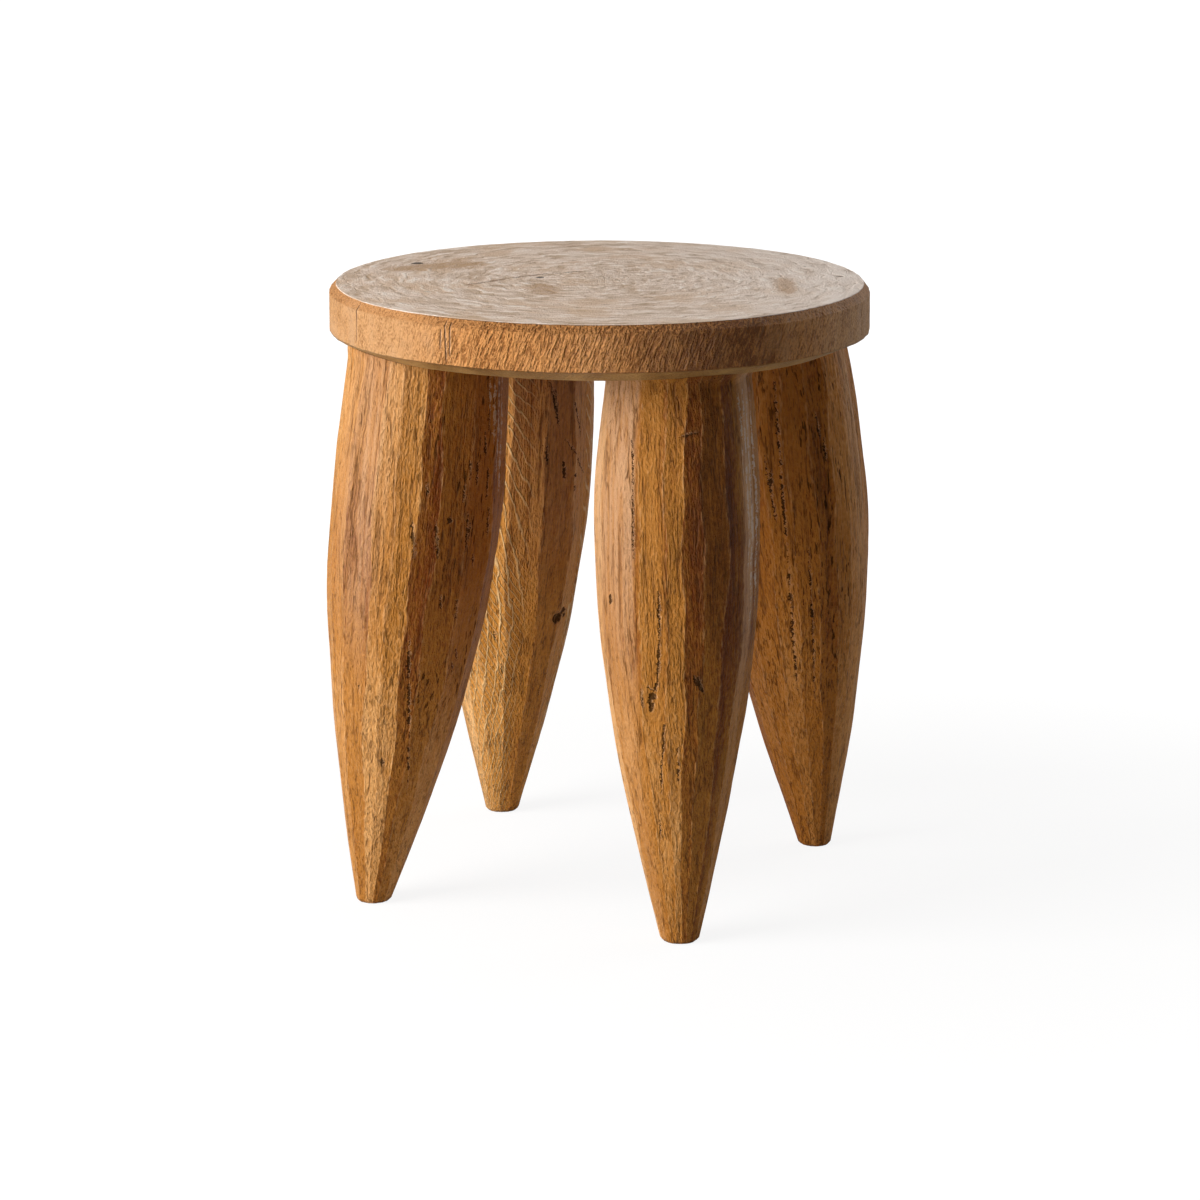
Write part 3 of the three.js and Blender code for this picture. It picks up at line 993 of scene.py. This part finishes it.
def leg_material(name, legs, leg):
    """Hewn wood along the grain: streaks, pores, checks, and the tone of each flat."""
    material, w = new_material(name)
    at = leg_grain(w, leg)
    color = leg_color(w, at, legs, leg)
    pores = w.smooth(w.grain(at.place, 1.0, 8, 1, at.seed + 5), 0.63, 0.70)
    vein = w.smooth(w.apart(w.grain(at.place, 9, 120, 3, at.seed + 60), 0.5), 0.03, 0.006)
    vein = w.times(vein, w.smooth(at.streak, 0.62, 0.42))
    skin, cut, lip, rim_light_streaks = leg_marks(w, at, leg)
    across = w.math("FRACT", at.flats)
    edge = w.math("MINIMUM", across, w.less(1.0, across))
    crest = w.times(w.smooth(edge, 0.12, 0.0), w.smooth(at.fibre, 0.45, 0.62))
    color = w.coat(color, VEIN, 0.5, vein)
    color = w.coat(color, PORE, 0.5, pores)
    # Painted highlight: the lit right-hand lip of each cut
    color = w.coat(color, LEG_LIP_HIGHLIGHT, 0.35, lip)
    color = w.coat(color, LEG_CUT, 0.88, cut)
    color = w.coat(color, CREST, 0.35, crest)
    # Painted rim light: pale streaks along the fibres at the leg's right edge
    if leg["rim_light_streaks"]:
        color = w.mix(w.times(rim_light_streaks, w.smooth(at.fibre, 0.3, 0.5, 0.25, 0.85)), color, RIM_LIGHT_STREAK)
    relief = [(at.fibre, 1.1), (at.nap, 1.6), (at.streak, 0.7), (pores, -0.25), (vein, -0.5), (cut, -1.6)]
    if leg["number"] == GROOVED_LEG:
        groove = tool_grooves(w, at)
        color = w.coat(color, GROOVE, 0.7, groove)
        relief.append((groove, 0.9))
    if leg["number"] == SCRAPED_LEG:
        relief.append((scrapes(w, at, skin), 0.5))
    rough = w.sum((at.broad, 0.5), (at.nap, 0.3), (cut, 0.6), (pores, 0.3))
    gloss = w.math("MULTIPLY_ADD", cut, -0.18, 0.20)
    wire_wood(w, color, w.smooth(rough, 0.2, 0.9, 0.42, 0.66), w.sum(*relief), gloss)
    return material


# The seat's wood


def seat_material(name, seat):
    """Cross-cut wood: rings and short strokes on the top, torn upright fibres on the side."""
    material, w = new_material(name)
    place = w.place()
    parts = w.parts(place)
    top, top_relief = seat_top(w, place, seat)
    side, side_relief = seat_side(w, place, parts, seat)
    bevel = UNDERSIDE_HEIGHT + UNDER_BEVEL_HEIGHT
    on_top = w.smooth(parts["Z"], SEAT_TOP_HEIGHT - 0.8, SEAT_TOP_HEIGHT - 0.45)
    below = w.smooth(parts["Z"], bevel + 0.7, bevel - 0.7)
    broad = w.grain(place, 20, 60, 2, 3)
    under = w.smooth(w.sum((broad, 0.6), (w.grain(place, 2.5, 2.5, 3, 8), 0.4)), 0.3, 0.7)
    color = w.mix(below, side, w.mix(under, UNDER_DARK, UNDER_PALE))
    color = w.mix(on_top, color, top)
    side_relief = w.times(side_relief, w.less(1.0, w.times(below, 0.75)), w.less(1.0, on_top))
    relief = w.sum((side_relief, 1.0), (w.times(top_relief, on_top), 1.0))
    wire_wood(w, color, w.smooth(broad, 0.3, 0.7, 0.44, 0.6), relief, 0.35)
    return material


def seat_side(w, place, parts, seat):
    """Colour and relief of the side."""
    level = parts["Z"]
    around = w.math("FRACT", w.math("DIVIDE", w.math("ARCTAN2", parts["Y"], parts["X"]), 2 * math.pi))
    # Painted light and shade round the side, with some of the wood's own tone
    tone_and_shading = tone_and_shading_round(w, around, SEAT_TONE_AND_SHADING)
    lean = {"Vector": place, "Angle": w.times(level, -TORN_LEAN / SEAT_RADIUS)}
    leaning = w.node("VectorRotate", {"rotation_type": "Z_AXIS"}, **lean).outputs[0]
    tear = w.grain(leaning, 2.2, 8, 3, 2)
    fine = w.grain(leaning, 1.0, 5, 2, 4)
    speck = w.grain(place, 1.6, 1.8, 3, 6)
    broad = w.grain(place, 30, 60, 2, 9)
    facing = math.radians(TORN_DEGREES)
    front = w.vector("DOT_PRODUCT", place, (math.cos(facing), math.sin(facing), 0))
    torn_share = w.smooth(front, 105, 175)
    torn = w.math("MULTIPLY_ADD", torn_share, 0.75, 0.25)
    tear = w.times(tear, torn)
    tone = w.sum((tear, 3.1), (fine, 1.6), (speck, 2.3), (broad, 1.2), (tone_and_shading, 0.8))
    middle = w.math("MULTIPLY_ADD", torn, 1.6, 2.38)
    share = w.smooth(tone, w.less(middle, 0.55), w.math("ADD", middle, 0.55))
    color = w.mix(share, tinted(seat.side_color, (0.46, 0.36, 0.2)), seat.side_color)
    color = w.mix(w.smooth(broad, 0.5, 0.68, 0.0, 0.4), color, SIDE_TAN)
    # Painted shade: the side darkens where it turns away from the key lamp
    color = w.mix(w.smooth(tone_and_shading, 0.05, -0.5), color, SIDE_SHADE, "MULTIPLY")
    # A greyer, cooler tint on the side away from its front, where its fibres are less torn
    color = w.mix(w.less(1.0, torn_share), color, SIDE_FLANK_TINT, "MULTIPLY")
    bevel = SEAT_TOP_HEIGHT - TOP_BEVEL_HEIGHT
    bevelled = w.smooth(level, bevel - 0.8, bevel + 1.0)
    color = w.coat(color, w.mix(share, BEVEL_DARK, BEVEL_PALE), 0.5, bevelled)
    skin = w.node("CombineXYZ", X=w.times(around, 360.0), Y=level).outputs[0]
    skin = w.vector("MULTIPLY", skin, (SEAT_MM_PER_DEGREE, 1, 0))
    crack, lip = marks(w, skin, speck, around_lines(SEAT_CRACKS, SEAT_MM_PER_DEGREE), 0.4)
    # Painted highlight: the lit lip of each crack
    color = w.coat(color, SIDE_LIP_HIGHLIGHT, 0.5, lip)
    color = w.coat(color, SIDE_CRACK, 0.8, crack)
    return color, w.sum((tear, 6.5), (fine, 1.0), (speck, 1.3), (crack, -1.2))


def ring_noise(w, radius, bearing, width, bends, seed):
    """Noise along the rings: how wide it is across them and how often it bends round them."""
    bent = {"Y": w.times(bearing["X"], bends), "Z": w.times(bearing["Y"], bends)}
    spot = w.node("CombineXYZ", X=w.math("DIVIDE", radius, width), **bent).outputs[0]
    return w.noise(w.vector("ADD", spot, (seed, seed, 0)), 3)


def seat_top(w, place, seat):
    """Colour and relief of the top."""
    flat = w.vector("MULTIPLY", w.vector("SUBTRACT", place, RINGS_MIDDLE), (1, 1, 0))
    ripple = w.ripple(flat, 0.016, 2.0)
    bent = w.vector("ADD", flat, w.longer(ripple, 17.0))
    rings = (w, w.vector("LENGTH", bent), w.parts(w.vector("NORMALIZE", bent)))
    arcs = ring_noise(*rings, 15.0, 2.2, 5)
    strokes = ring_noise(*rings, 6.0, 5.2, 17)
    dashes = ring_noise(*rings, 3.6, 8.0, 31)
    speck = w.grain(flat, 1.6, 1.6, 3, 2)
    # Painted sheen: the top grows paler and greyer towards the side on the camera's right
    right_sheen = w.smooth(w.vector("DOT_PRODUCT", flat, (0.93, 0.37, 0)), 0, 190, 0.0, 0.6)
    patch = w.grain(flat, 55, 55, 3, 11)
    tone = w.sum((arcs, 1.0), (strokes, 2.0), (dashes, 1.0), (speck, 0.6), (patch, 0.8))
    share = w.smooth(tone, 2.7 - 0.45, 2.7 + 0.25)
    color = w.mix(share, tinted(seat.top_color, (0.66, 0.575, 0.47)), seat.top_color)
    tan = w.smooth(w.sum((patch, 0.6), (arcs, 0.4)), 0.48, 0.6)
    color = w.coat(color, TOP_TAN, 0.6, tan)
    color = w.mix(right_sheen, color, TOP_RIGHT_SHEEN)
    pale = w.smooth(w.sum((strokes, 0.5), (dashes, 0.5)), 0.53, 0.62)
    color = w.coat(color, PALE_STROKE, 0.65, pale)
    dark = w.smooth(w.sum((strokes, 0.4), (dashes, 0.6)), 0.43, 0.36)
    color = w.coat(color, DARK_STROKE, 0.5, dark)
    skin = w.vector("ADD", w.vector("MULTIPLY", place, (1, 1, 0)), w.longer(ripple, 6.0))
    color, pits = top_marks(w, skin, w.smooth(speck, 0.4, 0.6), color)
    return color, w.sum((strokes, 1.3), (dashes, 0.9), (speck, 0.8), (arcs, 0.8), (pits, -1.5))


def top_marks(w, skin, dash, color):
    """Stains, the long crack and the small holes on the top: their colour, and the holes."""
    for lines, breaks, paint, strength in (
        (TOP_STAINS, 0.45, TOP_STAIN, 0.6),
        (TOP_SEAMS, 0.6, TOP_SEAM, 0.75),
        (TOP_PITS, 0.0, TOP_PIT, 0.92),
    ):
        found = marks(w, skin, dash, lines, breaks)[0]
        color = w.coat(color, paint, strength, found)
    return color, found


# Operators


class STOOL_OT_seat(bpy.types.Operator):
    """Models the seat: a disc with a hewn side, two bevels and a flat top"""

    bl_idname = "stool.seat"
    bl_label = "Seat"

    def execute(self, context):
        seat = context.scene.stool_seat
        flat_steps = max(1, round(2 * math.pi * SEAT_RADIUS * MM / SEAT_FLATS / seat.columns))
        low, high = UNDERSIDE_HEIGHT * MM, SEAT_TOP_HEIGHT * MM
        piece = drum("hewn_seat", SEAT_FLATS * flat_steps, SEAT_RADIUS * MM, low, high)
        split_side(piece, SEAT_RADIUS * MM, sum(SEAT_SIDE_ROWS))
        self.shape(piece, low, high)
        self.mortises(piece)
        piece.data.materials.append(seat_material("seat_wood_looks", seat))
        finish_piece(piece, "seat", SEAT_SMOOTH_DEGREES)
        return {"FINISHED"}

    def mortises(self, piece):
        """Bores the blind holes that take the tenons."""
        drills = [self.drill(leg) for leg in LEGS.values()]
        for drill in drills:
            drill.select_set(True)
        bpy.ops.object.join()
        drill = bpy.context.object
        select_only(piece)
        cut = piece.modifiers.new("mortises", "BOOLEAN")
        cut.operation = "DIFFERENCE"
        cut.solver = "EXACT"
        cut.object = drill
        bpy.ops.object.modifier_apply(modifier=cut.name)
        bpy.data.objects.remove(drill, do_unlink=True)

    def drill(self, leg):
        """A round bar that lies where one leg's tenon goes, from below the seat."""
        middle = leg_middle(leg, np.array([UNDERSIDE_HEIGHT]))[0]
        lean = leg_lean(leg)
        depth = TENON_LENGTH + JOINT_GAP
        rise = (depth - DRILL_START) / 2
        deselect_everything()
        bpy.ops.mesh.primitive_cylinder_add(
            vertices=DRILL_CORNERS,
            radius=(TENON_RADIUS + JOINT_GAP) * MM,
            depth=(depth + DRILL_START) * MM,
            location=(*(middle + lean * rise) * MM, (UNDERSIDE_HEIGHT + rise) * MM),
            rotation=(-math.atan(lean[1]), math.atan(lean[0]), 0),
        )
        return bpy.context.object

    def shape(self, piece, low, high):
        """Moves the drum's points onto the hewn section."""
        places = vertex_places(piece.data)
        turn = turns(places)
        reach = reaches(places) / (SEAT_RADIUS * MM)
        on_side = reach > 0.9995
        row = (places[:, 2] - low) / (high - low) * sum(SEAT_SIDE_ROWS)
        radius = np.zeros(len(places))
        height = places[:, 2] / MM
        start = 0
        for edge, count in enumerate(SEAT_SIDE_ROWS):
            inside = on_side & (row > start - HALF_ROW) & (row < start + count + HALF_ROW)
            share = np.clip((row[inside] - start) / count, 0, 1)
            r0, z0 = seat_edge(edge, turn[inside])
            r1, z1 = seat_edge(edge + 1, turn[inside])
            radius[inside] = r0 + (r1 - r0) * share
            height[inside] = z0 + (z1 - z0) * share
            start += count
        for edge, level in ((0, low), (3, high)):
            flat = ~on_side & (np.abs(places[:, 2] - level) < NEAR)
            radius[flat] = seat_edge(edge, turn[flat])[0] * reach[flat]
        placed = np.stack([radius * np.cos(turn), radius * np.sin(turn), height], 1)
        set_vertex_places(piece.data, self.worn(placed) * MM)

    def worn(self, placed):
        """Adds the hand's unevenness: torn fibres on the side, scrapes round the top's rim."""
        reach = reaches(placed)
        on_side = np.clip((reach - UNDERSIDE_RADIUS) / 8, 0, 1) * (placed[:, 2] < SEAT_TOP_HEIGHT - 0.5)
        out = placed[:, :2] / np.maximum(reach, 1)[:, None]
        torn = 0.3 * cloud(placed, (5, 5, 18), 1) + 0.25 * cloud(placed, (12, 12, 30), 2)
        placed[:, :2] += out * (torn * on_side - 0.25 * on_side)[:, None]
        level = placed[:, 2] >= SEAT_TOP_HEIGHT - 0.01
        scraped = 0.1 * cloud(placed, (9, 9, 9), 3) + 0.1 * cloud(placed, (30, 30, 30), 4)
        placed[:, 2] += np.where(level, scraped - 0.2, 0)
        return placed


class STOOL_OT_leg(bpy.types.Operator):
    """Models one leg: a spindle in hewn flats, scribed to the seat"""

    bl_idname = "stool.leg"
    bl_label = "Leg"

    leg: EnumProperty(name="Leg", items=[(name, name, name) for name in LEGS])

    def execute(self, context):
        leg = LEGS[self.leg]
        flats = len(ridge_places(leg))
        columns = flats * len(ACROSS_FLAT)
        piece = self.blank(columns)
        places = vertex_places(piece.data)
        column = np.rint(turns(places) / (2 * np.pi) * columns).astype(int) % columns
        flat, step = np.divmod(column, len(ACROSS_FLAT))
        self.shape(piece, leg, places, flat, ACROSS_FLAT[step])
        self.map_flats(piece, leg, flat + ACROSS_FLAT[step], flats)
        looks = leg_material(self.leg + "_looks", context.scene.stool_legs, leg)
        piece.data.materials.append(looks)
        finish_piece(piece, self.leg, LEG_SMOOTH_DEGREES)
        return {"FINISHED"}

    def blank(self, columns):
        """A straight round bar, cut into rows, with a round tenon on its top end."""
        piece = drum("hewn_" + self.leg, columns, BLANK_RADIUS, 0.0, BLANK_HEIGHT)
        ring_end(piece, BLANK_HEIGHT, BLANK_RADIUS - BLANK_TENON_RADIUS, SHOULDER_RINGS)
        # The middle of the end face can be worked out too far off its level for the second step to
        # find it. That tenon then ends square, without its bevelled part.
        for rise in (TENON_LENGTH - TENON_END_BEVEL, TENON_END_BEVEL):
            level = vertex_places(piece.data)[:, 2].max()
            select_cap(piece.data, level, BLANK_TENON_RADIUS / 2)
            bpy.ops.mesh.extrude_region_move(TRANSFORM_OT_translate={"value": (0, 0, rise * MM)})
            bpy.ops.object.mode_set(mode="OBJECT")
        split_side(piece, BLANK_RADIUS, LEG_ROWS)
        return piece

    def shape(self, piece, leg, places, flat, share):
        """Moves the bar's points onto the leg's skin, its shoulder scribed to the seat."""
        rise = np.clip(places[:, 2] / BLANK_HEIGHT, 0, 1)
        root = np.full(len(rise), UNDERSIDE_HEIGHT - JOINT_GAP)
        top = root
        for _ in range(3):
            top = underside_height(leg_surface(leg, flat, share, top)) - JOINT_GAP
        height = root * rise + (top - root) * rise**12
        skin = leg_surface(leg, flat, share, height)
        self.shoulder(leg, places, rise, skin, height)
        self.tenon(leg, places, skin, height)
        set_vertex_places(piece.data, np.column_stack([skin, height]) * MM)

    def shoulder(self, leg, places, rise, skin, height):
        """Draws the points of the bar's top end in, from the skin to the tenon."""
        reach = reaches(places)
        inside = (rise > 0.99999) & (reach < BLANK_RADIUS - NEAR)
        drawn_in = ((reach - BLANK_TENON_RADIUS) / (BLANK_RADIUS - BLANK_TENON_RADIUS))[inside]
        middle = leg_middle(leg, np.array([UNDERSIDE_HEIGHT]))
        spoke = skin[inside] - middle
        length = np.hypot(*spoke.T)
        wanted = TENON_RADIUS + (length - TENON_RADIUS) * np.maximum(drawn_in, 0)
        skin[inside] = middle + spoke * (wanted / length)[:, None]
        height[inside] = underside_height(skin[inside]) - JOINT_GAP

    def tenon(self, leg, places, skin, height):
        """Leans the tenon with its leg, bevels its end and gives it its height."""
        above = places[:, 2] > BLANK_HEIGHT + NEAR
        lift = places[above, 2] / MM - BLANK_HEIGHT / MM
        middle = leg_middle(leg, np.array([UNDERSIDE_HEIGHT]))
        at_end = lift > TENON_LENGTH - TENON_END_BEVEL / 2
        narrower = 1 - TENON_END_BEVEL / TENON_RADIUS * at_end
        spoke = skin[above] - middle
        skin[above] = middle + spoke * narrower[:, None] + leg_lean(leg) * lift[:, None]
        height[above] = UNDERSIDE_HEIGHT - JOINT_GAP + lift

    def map_flats(self, piece, leg, around, flats):
        """Two maps: flats counted round the leg, and turns round it, both against height."""
        places = vertex_places(piece.data)
        middle = leg_middle(leg, places[:, 2] / MM) * MM
        turn = turns(places[:, :2] - middle) / (2 * np.pi) % 1
        write_uv(piece.data, "flats", around, flats)
        write_uv(piece.data, "around", turn, 1.0)


class STOOL_OT_stage(bpy.types.Operator):
    """Sets up the floor, the studio light and the camera"""

    bl_idname = "stool.stage"
    bl_label = "Stage"

    def execute(self, context):
        scene = context.scene
        self.floor()
        for name, given in LAMPS.items():
            self.lamp(scene, name, scene.stool_stage.key_power, *given)
        self.world(scene)
        self.camera(scene)
        scene.view_settings.view_transform = "Standard"
        return {"FINISHED"}

    def floor(self):
        """Pale paper that goes over into plain white away from the stool."""
        deselect_everything()
        bpy.ops.mesh.primitive_plane_add(size=14, location=(0, 0, 0))
        floor = bpy.context.object
        floor.name = "floor"
        material, w = new_material("floor_paper")
        paper = w.node("BsdfDiffuse", Color=(0.72, 0.72, 0.72, 1))
        glow = w.node("Emission", Color=(1, 1, 1, 1), Strength=1.1)
        far = w.vector("LENGTH", w.node("TexCoord").outputs["Object"])
        seen = w.node("LightPath").outputs["Is Camera Ray"]
        blend = w.node("MixShader", Fac=w.times(w.smooth(far, 0.3, 1.3, 0.8, 1.0), seen))
        w.feed(blend.inputs[1], paper.outputs[0])
        w.feed(blend.inputs[2], glow.outputs[0])
        w.node("OutputMaterial", Surface=blend.outputs[0])
        floor.data.materials.append(material)

    def lamp(self, scene, name, key_power, turn, rise, distance, size, share, color):
        """A square lamp that faces the stool's middle."""
        data = bpy.data.lights.new(name, "AREA")
        data.shape = "SQUARE"
        data.size = size
        data.energy = key_power * share
        data.color = color
        lamp = bpy.data.objects.new(name, data)
        turn, rise = math.radians(turn), math.radians(rise)
        lamp.location = (
            distance * math.cos(turn) * math.cos(rise),
            distance * math.sin(turn) * math.cos(rise),
            LAMPS_AIM_HEIGHT + distance * math.sin(rise),
        )
        lamp.rotation_euler = (math.pi / 2 - rise, 0, turn + math.pi / 2)
        lamp.visible_camera = False
        scene.collection.objects.link(lamp)

    def world(self, scene):
        """White to the camera. Reflections see white behind the stool and a dark room before it."""
        world = bpy.data.worlds.new("studio")
        world.use_nodes = True
        world.node_tree.nodes.clear()
        w = Wiring(world.node_tree)
        path = w.node("LightPath").outputs
        away = math.radians(CAMERA_TURN + 90)
        direction = w.node("TexCoord").outputs["Generated"]
        behind = w.vector("DOT_PRODUCT", direction, (math.cos(away), math.sin(away), 0.1))
        sweep = w.smooth(behind, -0.2, 0.35)
        dome = w.sum((sweep, scene.stool_stage.fill_strength), (w.less(1.0, sweep), 0.03))
        mirrored = w.times(path["Is Glossy Ray"], w.times(sweep, 0.3))
        seen = w.math("MAXIMUM", path["Is Camera Ray"], mirrored)
        light = w.node("Background", Color=(1, 1, 1, 1), Strength=w.math("MAXIMUM", dome, seen))
        w.node("OutputWorld", Surface=light.outputs[0])
        scene.world = world

    def camera(self, scene):
        """The photograph's place: 3.1 m off, nearly a metre up, looking a little down."""
        data = bpy.data.cameras.new("camera")
        data.lens = CAMERA_LENS
        data.sensor_width = 36
        camera = bpy.data.objects.new("camera", data)
        turn = math.radians(CAMERA_TURN)
        camera.location = (CAMERA_REACH * math.sin(turn), -CAMERA_REACH * math.cos(turn), CAMERA_HEIGHT)
        camera.rotation_euler = (math.radians(90 - CAMERA_DIP), 0, turn)
        scene.collection.objects.link(camera)
        scene.camera = camera


class STOOL_PT_panel(bpy.types.Panel):
    """Lists the stool's pieces and their settings"""

    bl_idname = "STOOL_PT_panel"
    bl_label = "Stool"
    bl_space_type = "VIEW_3D"
    bl_region_type = "UI"
    bl_category = "Stool"

    def draw(self, context):
        scene = context.scene
        self.layout.operator("stool.seat")
        self.settings(scene.stool_seat)
        self.layout.operator_menu_enum("stool.leg", "leg")
        self.settings(scene.stool_legs)
        self.layout.operator("stool.stage")
        self.settings(scene.stool_stage)

    def settings(self, group):
        for name in type(group).__annotations__:
            self.layout.prop(group, name)


SETTINGS = {"stool_seat": StoolSeat, "stool_legs": StoolLegs, "stool_stage": StoolStage}
CLASSES = (*SETTINGS.values(), STOOL_OT_seat, STOOL_OT_leg, STOOL_OT_stage, STOOL_PT_panel)


def register():
    for each in CLASSES:
        bpy.utils.register_class(each)
    for name, group in SETTINGS.items():
        setattr(bpy.types.Scene, name, PointerProperty(type=group))


def unregister():
    for name in SETTINGS:
        delattr(bpy.types.Scene, name)
    for each in reversed(CLASSES):
        bpy.utils.unregister_class(each)


def main():
    register()
    bpy.ops.stool.seat()
    for name in LEGS:
        bpy.ops.stool.leg(leg=name)
    bpy.ops.stool.stage()


if __name__ == "__main__":
    main()
